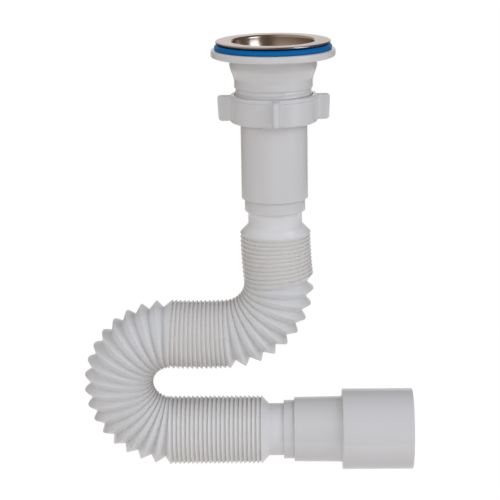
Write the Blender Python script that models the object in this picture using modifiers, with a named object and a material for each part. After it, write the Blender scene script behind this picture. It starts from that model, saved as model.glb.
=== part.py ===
"""Flexible sink trap with a strainer cup, a waste body, a union nut and a bellows hose.

Metres, +Z up. The origin is on the waste axis, on top of the sink gasket. The hose hangs
below it, bends towards -X, turns back through the water seal and ends at +X.
"""
import math

import bmesh
import bpy
from mathutils import Vector

MM = 0.001

# Fits
CLEARANCE = 0.3 * MM
CUT_MARGIN = 1.0 * MM
ROUND_STEPS = 24
BOSS_SIDES = 20
SCREW_SIDES = 16
DRAIN_HOLE_SIDES = 12

# Strainer cup, pressed from steel sheet
SHEET = 0.8 * MM
RIM_RADIUS = 34.1 * MM
RIM_HEIGHT = 1.7 * MM
RIM_TAPER = 1.4 * MM
RIM_EDGE = 0.5 * MM
RECESS_MOUTH_RADIUS = 24.3 * MM
RECESS_FLOOR_RADIUS = 20.6 * MM
RECESS_DEPTH = 14.0 * MM
SHOULDER_ROUND = 1.6 * MM
FLOOR_ROUND = 2.0 * MM
DIMPLE_RADIUS = 6.2 * MM
DIMPLE_DEPTH = 3.0 * MM
DRAIN_HOLES = 8
DRAIN_HOLE_RADIUS = 3.2 * MM
DRAIN_CIRCLE_RADIUS = 13.6 * MM

# Screw and captive nut that pull the cup down
SCREW_RADIUS = 2.4 * MM
SCREW_DOME = 1.0 * MM
SCREW_DOME_STEPS = 3
SCREW_SLOT = 1.2 * MM
SCREW_SLOT_DEPTH = 1.4 * MM
SCREW_TIP = 1.6 * MM
HEX_ACROSS_FLATS = 8.0 * MM
HEX_HEIGHT = 4.0 * MM

# Sink gasket
GASKET_OVERHANG = 0.7 * MM
GASKET_BORE_RADIUS = 26.4 * MM
GASKET_THICKNESS = 2.7 * MM
GASKET_BEVEL = 1.0 * MM

# Waste body, one moulding: flange, funnel, threaded outlet and spider
FLANGE_RADIUS = 37.0 * MM
FLANGE_THICKNESS = 4.3 * MM
FLANGE_ROUND = 1.2 * MM
FUNNEL_RADIUS = 26.1 * MM
FUNNEL_COLLAR = 4.2 * MM
FUNNEL_HEIGHT = 10.5 * MM
FUNNEL_STEPS = 5
SHANK_STEP = 0.4 * MM
SHANK_HEIGHT = 3.6 * MM
THREAD_WALL = 2.7 * MM
BODY_WALL = 2.0 * MM
THROAT_LIP = 1.5 * MM
THROAT_LEDGE = 2.0 * MM
TAIL_INSERTION = 13.0 * MM
SEAT_CHAMFER = 1.6 * MM
SEAT_CHAMFER_HEIGHT = 2.4 * MM
SPIDER_SETBACK = 0.4 * MM
RIB_THICKNESS = 2.4 * MM
RIB_HEIGHT = 9.0 * MM
BOSS_RADIUS = 6.4 * MM

# Union nut, with the degrees by which it stands turned
NUT_WALL = 2.7 * MM
NUT_HEIGHT = 16.5 * MM
NUT_FLOOR = 3.2 * MM
NUT_TOP_BEVEL = 1.5 * MM
NUT_BOTTOM_ROUND = 1.5 * MM
THREAD_SHOWING = 4.2 * MM
NUT_TURN = 3.0
WINGS = 4
WING_LENGTH = 7.5 * MM
WING_THICKNESS = 3.6 * MM
WING_TOP_MARGIN = 0.5 * MM
WING_BOTTOM_MARGIN = 1.6 * MM
WING_ROUND = 1.4 * MM

# Cone washer
WASHER_COLLAR = 2.0 * MM
WASHER_TIP = 0.5 * MM

# Tail pipe
TAIL_RADIUS = 20.0 * MM
TAIL_BELOW_NUT = 46.3 * MM
PIPE_WALL = 1.8 * MM
PIPE_EDGE = 0.5 * MM

# Snap socket that holds a hose neck, the same in the tail pipe and the outlet adapter
RING_RADIUS = 18.2 * MM
TAIL_RING_LENGTH = 7.6 * MM
SOCKET_DEPTH = 10.3 * MM
SOCKET_STOP = 1.8 * MM
SOCKET_STOP_RADIUS = 15.2 * MM
BEAD_HEIGHT = 0.8 * MM
BEAD_LENGTH = 2.4 * MM
BEAD_FROM_END = 3.4 * MM

# Bellows hose, one moulding with a plain neck at each end
NECK_RADIUS = 16.2 * MM
NECK_WALL = 1.3 * MM
INLET_NECK_SHOWING = 8.7 * MM
OUTLET_NECK_SHOWING = 9.4 * MM
INLET_CONE = 5.0 * MM
OUTLET_CONE = 4.5 * MM
HOSE_SIDES = 14

# Folds of the hose: an open fold is deep and nearly even, a closed one is shallow and leans
FOLD_RADIUS = 21.3 * MM
FOLD_DEPTH = 4.8 * MM
FOLD_OPENING = 0.95
FOLD_WALL = 1.2 * MM
OPEN_FLANK_SHARE = 0.6
CLOSED_FLANK_LEAN = 0.43

# Runs of folds along the hose, with the degrees that the slack runs and the elbow turn
UPPER_FOLDS = 11
UPPER_PITCH = 2.55 * MM
UPPER_LEAN = 6.3
ELBOW_FOLDS = 9
ELBOW_RADIUS = 33.0 * MM
ELBOW_TURN = 93.3
MIDDLE_FOLDS = 13
MIDDLE_PITCH = 2.73 * MM
MIDDLE_TURN = 6.3
SEAL_FOLDS = 17
SEAL_RADIUS = 31.4 * MM
LOWER_FOLDS = 21
LOWER_PITCH = 2.70 * MM

# Outlet adapter
ADAPTER_RING_LENGTH = 6.5 * MM
ADAPTER_MIDDLE_RADIUS = 20.0 * MM
ADAPTER_MIDDLE_DRAFT = 0.35 * MM
ADAPTER_MIDDLE_LENGTH = 28.7 * MM
ADAPTER_SHOULDER = 1.0 * MM
ADAPTER_END_RADIUS = 25.0 * MM
ADAPTER_END_LENGTH = 43.8 * MM
ADAPTER_WALL = 2.0 * MM
ADAPTER_EDGE = 0.4 * MM

# Radii that follow the tail pipe, from its bore in the waste body out to the nut
body_bore_radius = TAIL_RADIUS + CLEARANCE
throat_radius = TAIL_RADIUS - THROAT_LIP
thread_radius = body_bore_radius + THREAD_WALL
shank_radius = thread_radius + SHANK_STEP
nut_bore_radius = thread_radius + CLEARANCE
nut_radius = nut_bore_radius + NUT_WALL

# Heights on the waste axis and lengths along the hose, worked out from the sizes above
rim_bottom = CLEARANCE
rim_top = rim_bottom + RIM_HEIGHT
recess_floor = rim_top - RECESS_DEPTH
dimple_floor = recess_floor - DIMPLE_DEPTH
gasket_bottom = -GASKET_THICKNESS
flange_top = gasket_bottom - CLEARANCE
flange_bottom = flange_top - FLANGE_THICKNESS
collar_bottom = flange_bottom - FUNNEL_COLLAR
funnel_bottom = collar_bottom - FUNNEL_HEIGHT
shank_bottom = funnel_bottom - SHANK_HEIGHT
nut_top = shank_bottom - THREAD_SHOWING
nut_bottom = nut_top - NUT_HEIGHT
washer_bottom = nut_bottom + NUT_FLOOR + CLEARANCE
washer_collar_top = washer_bottom + WASHER_COLLAR
body_bottom = washer_collar_top + CLEARANCE
body_ledge = body_bottom + TAIL_INSERTION
spider_bottom = body_ledge + SPIDER_SETBACK
tail_top = body_ledge - CLEARANCE
tail_shoulder = nut_bottom - TAIL_BELOW_NUT
tail_bottom = tail_shoulder - TAIL_RING_LENGTH
socket_radius = NECK_RADIUS + CLEARANCE
neck_in_socket = SOCKET_DEPTH - CLEARANCE
inlet_neck = neck_in_socket + INLET_NECK_SHOWING
outlet_neck = neck_in_socket + OUTLET_NECK_SHOWING
hose_top = tail_bottom + neck_in_socket


def arc(centre, radius, start, end, points):
    """Points on an arc in the profile plane, angles in degrees from +X towards +Z."""
    angles = [start + (end - start) * step / (points - 1) for step in range(points)]
    return [
        (centre[0] + radius * math.cos(math.radians(a)), centre[1] + radius * math.sin(math.radians(a)))
        for a in angles
    ]


def material(name, colour, roughness, metallic=0.0):
    """A Principled material for one piece."""
    made = bpy.data.materials.new(name)
    made.use_nodes = True
    shader = made.node_tree.nodes["Principled BSDF"]
    shader.inputs["Base Color"].default_value = (*colour, 1.0)
    shader.inputs["Roughness"].default_value = roughness
    shader.inputs["Metallic"].default_value = metallic
    return made


def add_object(name, mesh, collection, location=(0.0, 0.0, 0.0)):
    """Put a mesh into a collection as an object."""
    made = bpy.data.objects.new(name, mesh)
    made.location = location
    collection.objects.link(made)
    return made


def turned(name, profile, look, location=(0.0, 0.0, 0.0), open_sheet=False):
    """Turn a profile of (radius, height) points about Z. It runs down its outer side."""
    mesh = bpy.data.meshes.new(name)
    points = [(radius, 0.0, height) for radius, height in profile]
    edges = [(i, i + 1) for i in range(len(points) - 1)]
    if not open_sheet:
        edges.append((len(points) - 1, 0))
    mesh.from_pydata(points, edges, [])
    mesh.materials.append(look)
    made = add_object(name, mesh, trap, location)
    screw = made.modifiers.new("turn", "SCREW")
    screw.angle = 2 * math.pi
    screw.steps = ROUND_STEPS
    screw.render_steps = ROUND_STEPS
    screw.use_merge_vertices = True
    screw.merge_threshold = 0.01 * MM
    screw.use_smooth_shade = True
    return made


def box_tool(name, size, location, turn=0.0, rounding=0.0):
    """A box that another piece is cut with or joined to."""
    mesh = bpy.data.meshes.new(name)
    form = bmesh.new()
    bmesh.ops.create_cube(form, size=1.0)
    bmesh.ops.scale(form, vec=Vector(size), verts=form.verts)
    form.to_mesh(mesh)
    form.free()
    made = add_object(name, mesh, tools, location)
    made.rotation_euler.z = turn
    if rounding:
        bevel = made.modifiers.new("round", "BEVEL")
        bevel.width = rounding
        bevel.segments = 2
    hide_tool(made)
    return made


def rod_tool(name, radius, bottom, top, sides, location=(0.0, 0.0)):
    """An upright rod or prism that another piece is cut with or joined to."""
    mesh = bpy.data.meshes.new(name)
    form = bmesh.new()
    bmesh.ops.create_cone(
        form, cap_ends=True, segments=sides, radius1=radius, radius2=radius, depth=top - bottom
    )
    form.to_mesh(mesh)
    form.free()
    made = add_object(name, mesh, tools, (location[0], location[1], (top + bottom) / 2))
    hide_tool(made)
    return made


def hide_tool(tool):
    """Keep a tool out of the renders."""
    tool.hide_render = True
    tool.display_type = "WIRE"


def combine(piece, tool, operation):
    """Cut a piece with a tool, or join the tool to it."""
    boolean = piece.modifiers.new(tool.name, "BOOLEAN")
    boolean.operation = operation
    boolean.object = tool
    boolean.solver = "EXACT"


def make_strainer_cup():
    """A pressed cup with a rim turned in at its edge, a drained floor and a dimple for the screw."""
    profile = [(SCREW_RADIUS + 2 * CLEARANCE, dimple_floor)]
    profile += [(DIMPLE_RADIUS - DIMPLE_DEPTH, dimple_floor), (DIMPLE_RADIUS, recess_floor)]
    corner = (RECESS_FLOOR_RADIUS - FLOOR_ROUND, recess_floor + FLOOR_ROUND)
    profile += arc(corner, FLOOR_ROUND, -90, 0, 3)
    mouth = (RECESS_MOUTH_RADIUS + SHOULDER_ROUND, rim_top - SHOULDER_ROUND)
    profile += arc(mouth, SHOULDER_ROUND, 180, 90, 4)
    edge = (RIM_RADIUS - RIM_EDGE, rim_top - RIM_EDGE)
    profile += arc(edge, RIM_EDGE, 90, 0, 3)
    profile.append((RIM_RADIUS - RIM_TAPER, rim_bottom))
    cup = turned("strainer_cup", profile, steel, open_sheet=True)
    thicken = cup.modifiers.new("sheet", "SOLIDIFY")
    thicken.thickness = SHEET
    thicken.offset = -1.0
    thicken.use_even_offset = True
    for hole in range(DRAIN_HOLES):
        angle = 2 * math.pi * (hole + 0.5) / DRAIN_HOLES
        centre = (DRAIN_CIRCLE_RADIUS * math.cos(angle), DRAIN_CIRCLE_RADIUS * math.sin(angle))
        drill = rod_tool(
            f"drain_drill_{hole + 1}", DRAIN_HOLE_RADIUS, recess_floor - SHEET - CUT_MARGIN,
            recess_floor + CUT_MARGIN, DRAIN_HOLE_SIDES, centre,
        )
        combine(cup, drill, "DIFFERENCE")


def make_cup_screw():
    """A slotted screw whose cone head sits in the dimple of the cup."""
    head_gap = CLEARANCE * math.sqrt(2)
    head_radius = DIMPLE_RADIUS - head_gap
    head_drop = head_radius - SCREW_RADIUS
    tip = body_ledge - SCREW_TIP
    profile = []
    for step in range(SCREW_DOME_STEPS + 1):
        angle = math.pi / 2 * step / SCREW_DOME_STEPS
        profile.append((head_radius * math.sin(angle), recess_floor + SCREW_DOME * math.cos(angle)))
    profile.append((SCREW_RADIUS, recess_floor - head_drop))
    profile += [(SCREW_RADIUS, tip + SCREW_RADIUS / 3), (SCREW_RADIUS * 2 / 3, tip), (0.0, tip)]
    screw = turned("cup_screw", profile, steel, open_sheet=True)
    screw.modifiers["turn"].steps = SCREW_SIDES
    screw.modifiers["turn"].render_steps = SCREW_SIDES
    slot = box_tool(
        "screw_slot", (2 * (head_radius + CUT_MARGIN), SCREW_SLOT, 2 * SCREW_SLOT_DEPTH),
        (0.0, 0.0, recess_floor + SCREW_DOME),
    )
    combine(screw, slot, "DIFFERENCE")


def make_captive_nut():
    """A brass hex nut, pushed into the boss of the spider from below."""
    mesh = bpy.data.meshes.new("captive_nut")
    form = bmesh.new()
    corner_radius = HEX_ACROSS_FLATS / 2 / math.cos(math.pi / 6)
    bmesh.ops.create_cone(
        form, cap_ends=True, segments=6, radius1=corner_radius, radius2=corner_radius, depth=HEX_HEIGHT
    )
    form.to_mesh(mesh)
    form.free()
    mesh.materials.append(brass)
    nut = add_object("captive_nut", mesh, trap, (0.0, 0.0, spider_bottom + HEX_HEIGHT / 2))
    drill = rod_tool(
        "captive_nut_drill", SCREW_RADIUS + CLEARANCE, spider_bottom - CUT_MARGIN,
        spider_bottom + HEX_HEIGHT + CUT_MARGIN, SCREW_SIDES,
    )
    combine(nut, drill, "DIFFERENCE")


def make_sink_gasket():
    """A moulded rubber ring between the sink and the flange, bevelled at its top."""
    gasket_radius = RIM_RADIUS + GASKET_OVERHANG
    profile = [
        (GASKET_BORE_RADIUS, 0.0),
        (gasket_radius - GASKET_BEVEL, 0.0),
        (gasket_radius, -GASKET_BEVEL),
        (gasket_radius, gasket_bottom),
        (GASKET_BORE_RADIUS, gasket_bottom),
    ]
    turned("sink_gasket", profile, blue_rubber)


def make_waste_body():
    """Flange, funnel and threaded outlet in one moulding, with a spider for the cup screw."""
    funnel = [(FUNNEL_RADIUS, flange_bottom)]
    for step in range(FUNNEL_STEPS + 1):
        share = step / FUNNEL_STEPS
        drop = (1 + math.cos(math.pi * share)) / 2
        radius = shank_radius + (FUNNEL_RADIUS - shank_radius) * drop
        funnel.append((radius, collar_bottom - FUNNEL_HEIGHT * share))
    upper = (FLANGE_RADIUS - FLANGE_ROUND, flange_top - FLANGE_ROUND)
    lower = (FLANGE_RADIUS - FLANGE_ROUND, flange_bottom + FLANGE_ROUND)
    profile = arc(upper, FLANGE_ROUND, 90, 0, 3) + arc(lower, FLANGE_ROUND, 0, -90, 3) + funnel
    profile += [(shank_radius, shank_bottom), (thread_radius, shank_bottom - SHANK_STEP)]
    profile += [(thread_radius, body_bottom), (body_bore_radius + SEAT_CHAMFER, body_bottom)]
    profile += [(body_bore_radius, body_bottom + SEAT_CHAMFER_HEIGHT), (body_bore_radius, body_ledge)]
    profile += [(throat_radius, body_ledge), (throat_radius, body_ledge + THROAT_LEDGE)]
    profile += [(radius - BODY_WALL, height) for radius, height in reversed(funnel)]
    profile.append((GASKET_BORE_RADIUS, flange_top))
    body = turned("waste_body", profile, white_plastic)
    boss_top = dimple_floor - SHEET - CLEARANCE
    rib_reach = shank_radius - BODY_WALL / 2
    for rib in range(2):
        bar = box_tool(
            f"spider_bar_{rib + 1}", (2 * rib_reach, RIB_THICKNESS, RIB_HEIGHT),
            (0.0, 0.0, spider_bottom + RIB_HEIGHT / 2), turn=math.radians(45 + 90 * rib),
        )
        combine(body, bar, "UNION")
    combine(body, rod_tool("spider_boss", BOSS_RADIUS, spider_bottom, boss_top, BOSS_SIDES), "UNION")
    pocket_radius = (HEX_ACROSS_FLATS / 2 + CLEARANCE) / math.cos(math.pi / 6)
    pocket = rod_tool(
        "hex_pocket", pocket_radius, spider_bottom - CUT_MARGIN,
        spider_bottom + HEX_HEIGHT + CLEARANCE, 6,
    )
    combine(body, pocket, "DIFFERENCE")
    drill = rod_tool(
        "screw_drill", SCREW_RADIUS + CLEARANCE, spider_bottom - CUT_MARGIN, boss_top + CUT_MARGIN,
        SCREW_SIDES,
    )
    combine(body, drill, "DIFFERENCE")


def make_union_nut():
    """A hand nut with four wings. Its floor presses the cone washer into the waste body."""
    floor_radius = TAIL_RADIUS + 2 * CLEARANCE
    lower = (nut_radius - NUT_BOTTOM_ROUND, nut_bottom + NUT_BOTTOM_ROUND)
    profile = [(nut_bore_radius, nut_top), (nut_radius - NUT_TOP_BEVEL, nut_top)]
    profile.append((nut_radius, nut_top - NUT_TOP_BEVEL))
    profile += arc(lower, NUT_BOTTOM_ROUND, 0, -90, 3)
    profile += [(floor_radius, nut_bottom), (floor_radius, nut_bottom + NUT_FLOOR)]
    profile.append((nut_bore_radius, nut_bottom + NUT_FLOOR))
    nut = turned("union_nut", profile, white_plastic)
    wing_root = nut_radius - NUT_WALL / 2
    blade_length = WING_LENGTH + NUT_WALL / 2
    wing_top = nut_top - WING_TOP_MARGIN
    wing_bottom = nut_bottom + WING_BOTTOM_MARGIN
    for wing in range(WINGS):
        angle = math.radians(NUT_TURN) + 2 * math.pi * wing / WINGS
        middle = wing_root + blade_length / 2
        place = (middle * math.cos(angle), middle * math.sin(angle), (wing_top + wing_bottom) / 2)
        blade = box_tool(
            f"wing_{wing + 1}", (blade_length, WING_THICKNESS, wing_top - wing_bottom), place,
            turn=angle, rounding=WING_ROUND,
        )
        combine(nut, blade, "UNION")


def make_cone_washer():
    """A rubber ring with a collar and a cone that enters the end of the waste body."""
    cone_angle = math.atan2(SEAT_CHAMFER, SEAT_CHAMFER_HEIGHT)
    cone_base = SEAT_CHAMFER - CLEARANCE / math.cos(cone_angle)
    cone_height = (cone_base - WASHER_TIP) / math.tan(cone_angle)
    profile = [
        (body_bore_radius, body_bottom + cone_height),
        (body_bore_radius + WASHER_TIP, body_bottom + cone_height),
        (body_bore_radius + cone_base, body_bottom),
        (body_bore_radius + cone_base, washer_collar_top),
        (thread_radius, washer_collar_top),
        (thread_radius, washer_bottom),
        (body_bore_radius, washer_bottom),
    ]
    turned("cone_washer", profile, grey_rubber)


def socket_profile(mouth, into):
    """Inner profile of a snap socket, from its stop out to its mouth, along the direction into."""
    groove_radius = socket_radius + BEAD_HEIGHT
    stop = mouth + into * SOCKET_DEPTH
    groove_far = stop - into * (BEAD_FROM_END - CLEARANCE)
    groove_near = groove_far - into * (BEAD_LENGTH + 2 * CLEARANCE)
    return [
        (SOCKET_STOP_RADIUS, stop + into * SOCKET_STOP),
        (SOCKET_STOP_RADIUS, stop),
        (socket_radius, stop),
        (socket_radius, groove_far),
        (groove_radius, groove_far - into * BEAD_HEIGHT),
        (groove_radius, groove_near + into * BEAD_HEIGHT),
        (socket_radius, groove_near),
        (socket_radius, mouth),
    ]


def make_tail_pipe():
    """A straight pipe that slides up through the nut and holds the hose at its lower end."""
    bore_radius = TAIL_RADIUS - PIPE_WALL
    profile = [(bore_radius, tail_top), (TAIL_RADIUS - PIPE_EDGE, tail_top)]
    profile += [(TAIL_RADIUS, tail_top - PIPE_EDGE), (TAIL_RADIUS, tail_shoulder + PIPE_EDGE)]
    profile += [(TAIL_RADIUS - PIPE_EDGE, tail_shoulder), (RING_RADIUS, tail_shoulder)]
    profile.append((RING_RADIUS, tail_bottom))
    socket = socket_profile(tail_bottom, 1.0)
    profile += reversed(socket)
    funnel_rise = bore_radius - SOCKET_STOP_RADIUS
    profile.append((bore_radius, socket[0][1] + funnel_rise))
    turned("tail_pipe", profile, white_plastic)


def advance(place, distance, curvature):
    """Follow the hose's centreline from a place, which is x, z and heading in radians."""
    x, z, heading = place
    if not curvature:
        return (x + distance * math.cos(heading), z + distance * math.sin(heading), heading)
    turned_to = heading + distance * curvature
    x += (math.sin(turned_to) - math.sin(heading)) / curvature
    z -= (math.cos(turned_to) - math.cos(heading)) / curvature
    return (x, z, turned_to)


def hose_point(place, angle, radius):
    """A point off the centreline, in the plane that stands square to it at a place."""
    x, z, heading = place
    side = Vector((-math.sin(heading), 0.0, math.cos(heading)))
    across = Vector((0.0, 1.0, 0.0))
    return Vector((x, 0.0, z)) + radius * (side * math.cos(angle) + across * math.sin(angle))


def hose_ring(place_at, radius_at, wall):
    """Outer and inner points of one ring. Its place and its radius may vary from side to side."""
    outer = []
    inner = []
    for corner in range(HOSE_SIDES):
        angle = 2 * math.pi * corner / HOSE_SIDES
        side = math.cos(angle)
        outer.append(hose_point(place_at(side), angle, radius_at(side)))
        inner.append(hose_point(place_at(side), angle, radius_at(side) - wall))
    return outer, inner


def plain_ring(place, radius, wall):
    """A round ring that stands square to the centreline."""
    return hose_ring(lambda side: place, lambda side: radius, wall)


def neck_rings(end, neck_length, way):
    """Rings of a plain neck from its open end: the snap bead, then the plain length.

    Way is 1 for the inlet neck and -1 for the outlet neck, which the centreline reaches last.
    """
    bead_radius = NECK_RADIUS + BEAD_HEIGHT
    steps = [
        (0.0, NECK_RADIUS),
        (BEAD_FROM_END, NECK_RADIUS),
        (BEAD_FROM_END + BEAD_HEIGHT, bead_radius),
        (BEAD_FROM_END + BEAD_LENGTH - BEAD_HEIGHT, bead_radius),
        (BEAD_FROM_END + BEAD_LENGTH, NECK_RADIUS),
        (neck_length, NECK_RADIUS),
    ]
    rings = []
    for distance, radius in steps:
        wall = NECK_WALL + radius - NECK_RADIUS
        rings.append(plain_ring(advance(end, way * distance, 0.0), radius, wall))
    return rings


def valley_ring(crest, pitch, curvature):
    """The valley after a crest, deeper and nearer to the middle where the bend opens the fold."""
    def opening(side):
        local_pitch = pitch * (1 - curvature * FOLD_RADIUS * side)
        return math.tanh(FOLD_OPENING * local_pitch / FOLD_DEPTH)

    def place_at(side):
        share = OPEN_FLANK_SHARE + CLOSED_FLANK_LEAN * (1 - opening(side))
        return advance(crest, pitch * share, curvature)

    def radius_at(side):
        return FOLD_RADIUS - FOLD_DEPTH * opening(side)

    return hose_ring(place_at, radius_at, FOLD_WALL)


def hose_run(folds, length, turn):
    """One run: its number of folds, their pitch on the centreline, and the curvature."""
    return folds, length / folds, math.radians(turn) / length


def hose_runs():
    """The runs of folds in order. The U-bend turns back all before it, so the outlet is level."""
    seal_turn = 90 - UPPER_LEAN + ELBOW_TURN + MIDDLE_TURN
    return [
        hose_run(UPPER_FOLDS, UPPER_FOLDS * UPPER_PITCH, UPPER_LEAN),
        hose_run(ELBOW_FOLDS, ELBOW_RADIUS * math.radians(ELBOW_TURN), -ELBOW_TURN),
        hose_run(MIDDLE_FOLDS, MIDDLE_FOLDS * MIDDLE_PITCH, -MIDDLE_TURN),
        hose_run(SEAL_FOLDS, SEAL_RADIUS * math.radians(seal_turn), seal_turn),
        hose_run(LOWER_FOLDS, LOWER_FOLDS * LOWER_PITCH, 0.0),
    ]


def run_places():
    """Where each run of folds starts, and last where the folds end."""
    places = [(0.0, hose_top - inlet_neck - INLET_CONE, math.radians(-90))]
    for folds, pitch, curvature in hose_runs():
        places.append(advance(places[-1], folds * pitch, curvature))
    return places


def hose_end():
    """Place of the outlet neck's open end, inside the outlet adapter."""
    return advance(run_places()[-1], OUTLET_CONE + outlet_neck, 0.0)


def elbow_centre():
    """Centre of the elbow, which the elbow flexes about."""
    x, z, heading = run_places()[1]
    return (x + ELBOW_RADIUS * math.sin(heading), 0.0, z - ELBOW_RADIUS * math.cos(heading))


def make_corrugated_hose():
    """The bellows: folds closed up in the slack runs, and opened by the elbow and the U-bend."""
    rings = neck_rings((0.0, hose_top, math.radians(-90)), inlet_neck, 1.0)
    for place, (folds, pitch, curvature) in zip(run_places(), hose_runs()):
        for fold in range(folds):
            rings.append(plain_ring(place, FOLD_RADIUS, FOLD_WALL))
            rings.append(valley_ring(place, pitch, curvature))
            place = advance(place, pitch, curvature)
    rings.append(plain_ring(run_places()[-1], FOLD_RADIUS, FOLD_WALL))
    rings += reversed(neck_rings(hose_end(), outlet_neck, -1.0))
    form = bmesh.new()
    loops = [[form.verts.new(point) for point in outer] for outer, inner in rings]
    loops += [[form.verts.new(point) for point in inner] for outer, inner in reversed(rings)]
    loops.append(loops[0])
    for first, second in zip(loops, loops[1:]):
        for corner in range(HOSE_SIDES):
            following = (corner + 1) % HOSE_SIDES
            form.faces.new((first[corner], first[following], second[following], second[corner]))
    bmesh.ops.recalc_face_normals(form, faces=form.faces)
    mesh = bpy.data.meshes.new("corrugated_hose")
    form.to_mesh(mesh)
    form.free()
    mesh.materials.append(white_plastic)
    mesh.shade_smooth()
    mesh.set_sharp_from_angle(angle=math.radians(30))
    return add_object("corrugated_hose", mesh, trap)


def make_outlet_adapter():
    """A stepped spigot: the socket for the hose, then two sizes for the waste pipe."""
    x, z, heading = hose_end()
    mouth = -neck_in_socket
    ring_end = mouth + ADAPTER_RING_LENGTH
    middle_end = ring_end + ADAPTER_MIDDLE_LENGTH
    end_start = middle_end + ADAPTER_SHOULDER
    tip = end_start + ADAPTER_END_LENGTH
    middle_radius = ADAPTER_MIDDLE_RADIUS + ADAPTER_MIDDLE_DRAFT
    end_bore = ADAPTER_END_RADIUS - ADAPTER_WALL
    middle_bore = ADAPTER_MIDDLE_RADIUS - ADAPTER_WALL
    profile = [(end_bore, tip), (ADAPTER_END_RADIUS - ADAPTER_EDGE, tip)]
    profile += [(ADAPTER_END_RADIUS, tip - ADAPTER_EDGE)]
    profile += [(ADAPTER_END_RADIUS, end_start + ADAPTER_SHOULDER)]
    profile += [(ADAPTER_END_RADIUS - ADAPTER_SHOULDER, end_start), (middle_radius, middle_end)]
    profile += [(ADAPTER_MIDDLE_RADIUS, ring_end + PIPE_EDGE)]
    profile += [(ADAPTER_MIDDLE_RADIUS - PIPE_EDGE, ring_end), (RING_RADIUS, ring_end)]
    profile.append((RING_RADIUS, mouth))
    socket = socket_profile(mouth, 1.0)
    profile += reversed(socket)
    funnel_rise = middle_bore - SOCKET_STOP_RADIUS
    profile.append((middle_bore, socket[0][1] + funnel_rise))
    profile += [(middle_bore, end_start - ADAPTER_WALL), (end_bore, end_start + ADAPTER_WALL)]
    adapter = turned("outlet_adapter", profile, white_plastic, (x, 0.0, z))
    adapter.rotation_euler = (0.0, math.radians(90) - heading, 0.0)
    return adapter


for old in list(bpy.data.objects):
    bpy.data.objects.remove(old, do_unlink=True)
trap = bpy.data.collections.new("flexible_sink_trap")
tools = bpy.data.collections.new("shaping_tools")
bpy.context.scene.collection.children.link(trap)
bpy.context.scene.collection.children.link(tools)

steel = material("polished_steel", (0.62, 0.60, 0.57), 0.15, 1.0)
brass = material("brass", (0.72, 0.55, 0.25), 0.3, 1.0)
blue_rubber = material("blue_rubber", (0.01, 0.13, 0.47), 0.35)
grey_rubber = material("grey_rubber", (0.35, 0.35, 0.36), 0.6)
white_plastic = material("white_polypropylene", (0.75, 0.75, 0.76), 0.35)

make_strainer_cup()
make_cup_screw()
make_captive_nut()
make_sink_gasket()
make_waste_body()
make_union_nut()
make_cone_washer()
make_tail_pipe()
hose = make_corrugated_hose()
adapter = make_outlet_adapter()

elbow_pivot = bpy.data.objects.new("elbow_pivot", None)
elbow_pivot.location = elbow_centre()
trap.objects.link(elbow_pivot)
for piece in (hose, adapter):
    piece.parent = elbow_pivot
    piece.location -= elbow_pivot.location
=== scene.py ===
"""Flexible sink trap, dressed: strainer cup, waste body, union nut, tail pipe, bellows hose, outlet."""
import math

import bmesh
import bpy
import numpy as np
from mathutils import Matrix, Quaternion, Vector


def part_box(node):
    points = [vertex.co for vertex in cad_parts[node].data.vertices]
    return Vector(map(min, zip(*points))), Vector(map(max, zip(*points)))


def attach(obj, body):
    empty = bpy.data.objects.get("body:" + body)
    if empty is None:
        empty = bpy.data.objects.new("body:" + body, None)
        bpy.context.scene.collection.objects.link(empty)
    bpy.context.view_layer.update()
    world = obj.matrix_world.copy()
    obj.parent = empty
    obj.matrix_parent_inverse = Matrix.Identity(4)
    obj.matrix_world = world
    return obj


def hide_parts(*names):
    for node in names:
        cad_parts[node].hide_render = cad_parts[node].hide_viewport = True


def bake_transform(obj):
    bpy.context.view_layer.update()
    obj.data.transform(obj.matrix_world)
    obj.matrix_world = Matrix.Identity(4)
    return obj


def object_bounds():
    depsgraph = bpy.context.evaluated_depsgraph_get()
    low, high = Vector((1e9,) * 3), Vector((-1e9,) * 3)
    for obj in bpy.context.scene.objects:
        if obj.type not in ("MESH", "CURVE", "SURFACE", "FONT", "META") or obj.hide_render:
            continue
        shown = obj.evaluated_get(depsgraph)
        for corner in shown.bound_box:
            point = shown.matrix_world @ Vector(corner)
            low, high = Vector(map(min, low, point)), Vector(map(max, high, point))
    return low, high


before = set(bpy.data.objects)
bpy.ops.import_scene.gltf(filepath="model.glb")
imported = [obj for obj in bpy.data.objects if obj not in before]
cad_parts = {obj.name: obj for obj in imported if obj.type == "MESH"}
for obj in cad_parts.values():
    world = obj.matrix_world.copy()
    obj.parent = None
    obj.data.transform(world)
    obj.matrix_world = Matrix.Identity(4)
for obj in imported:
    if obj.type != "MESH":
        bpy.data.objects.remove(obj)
cad_low, cad_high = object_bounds()
MM = 0.001

# Strainer cup: one stamping of 0.8 mm stainless sheet, polished after pressing. Its flat rim is
# turned in at the edge, its recess is a curved bowl, and the floor has eight punched holes and a
# dimple for the screw.
CUP_SHEET = 0.8 * MM
CUP_RIM_TURN_IN = 1.4 * MM
CUP_RIM_EDGE = 0.7 * MM
CUP_RIM_BOTTOM = 0.3 * MM
CUP_MOUTH_RADIUS = 24.3 * MM
CUP_SHOULDER = 1.6 * MM
CUP_WALL_LEAN = 0.5 * MM
CUP_WALL_DROP = 2.8 * MM
CUP_WALL_POINTS = 24
CUP_WALL_END = 0.96
CUP_FLOOR_FLAT = 17.2 * MM
CUP_FLOOR_REACH = 4.6 * MM
CUP_DIMPLE_RADIUS = 6.2 * MM
CUP_DIMPLE_DEPTH = 3.0 * MM
CUP_DIMPLE_EDGE = 0.3 * MM
CUP_SCREW_HOLE = 3.0 * MM
CUP_HOLES = 8
CUP_HOLE_RADIUS = 3.2 * MM
CUP_HOLE_CIRCLE = 13.6 * MM
CUP_TURN_STEPS = 192
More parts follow.
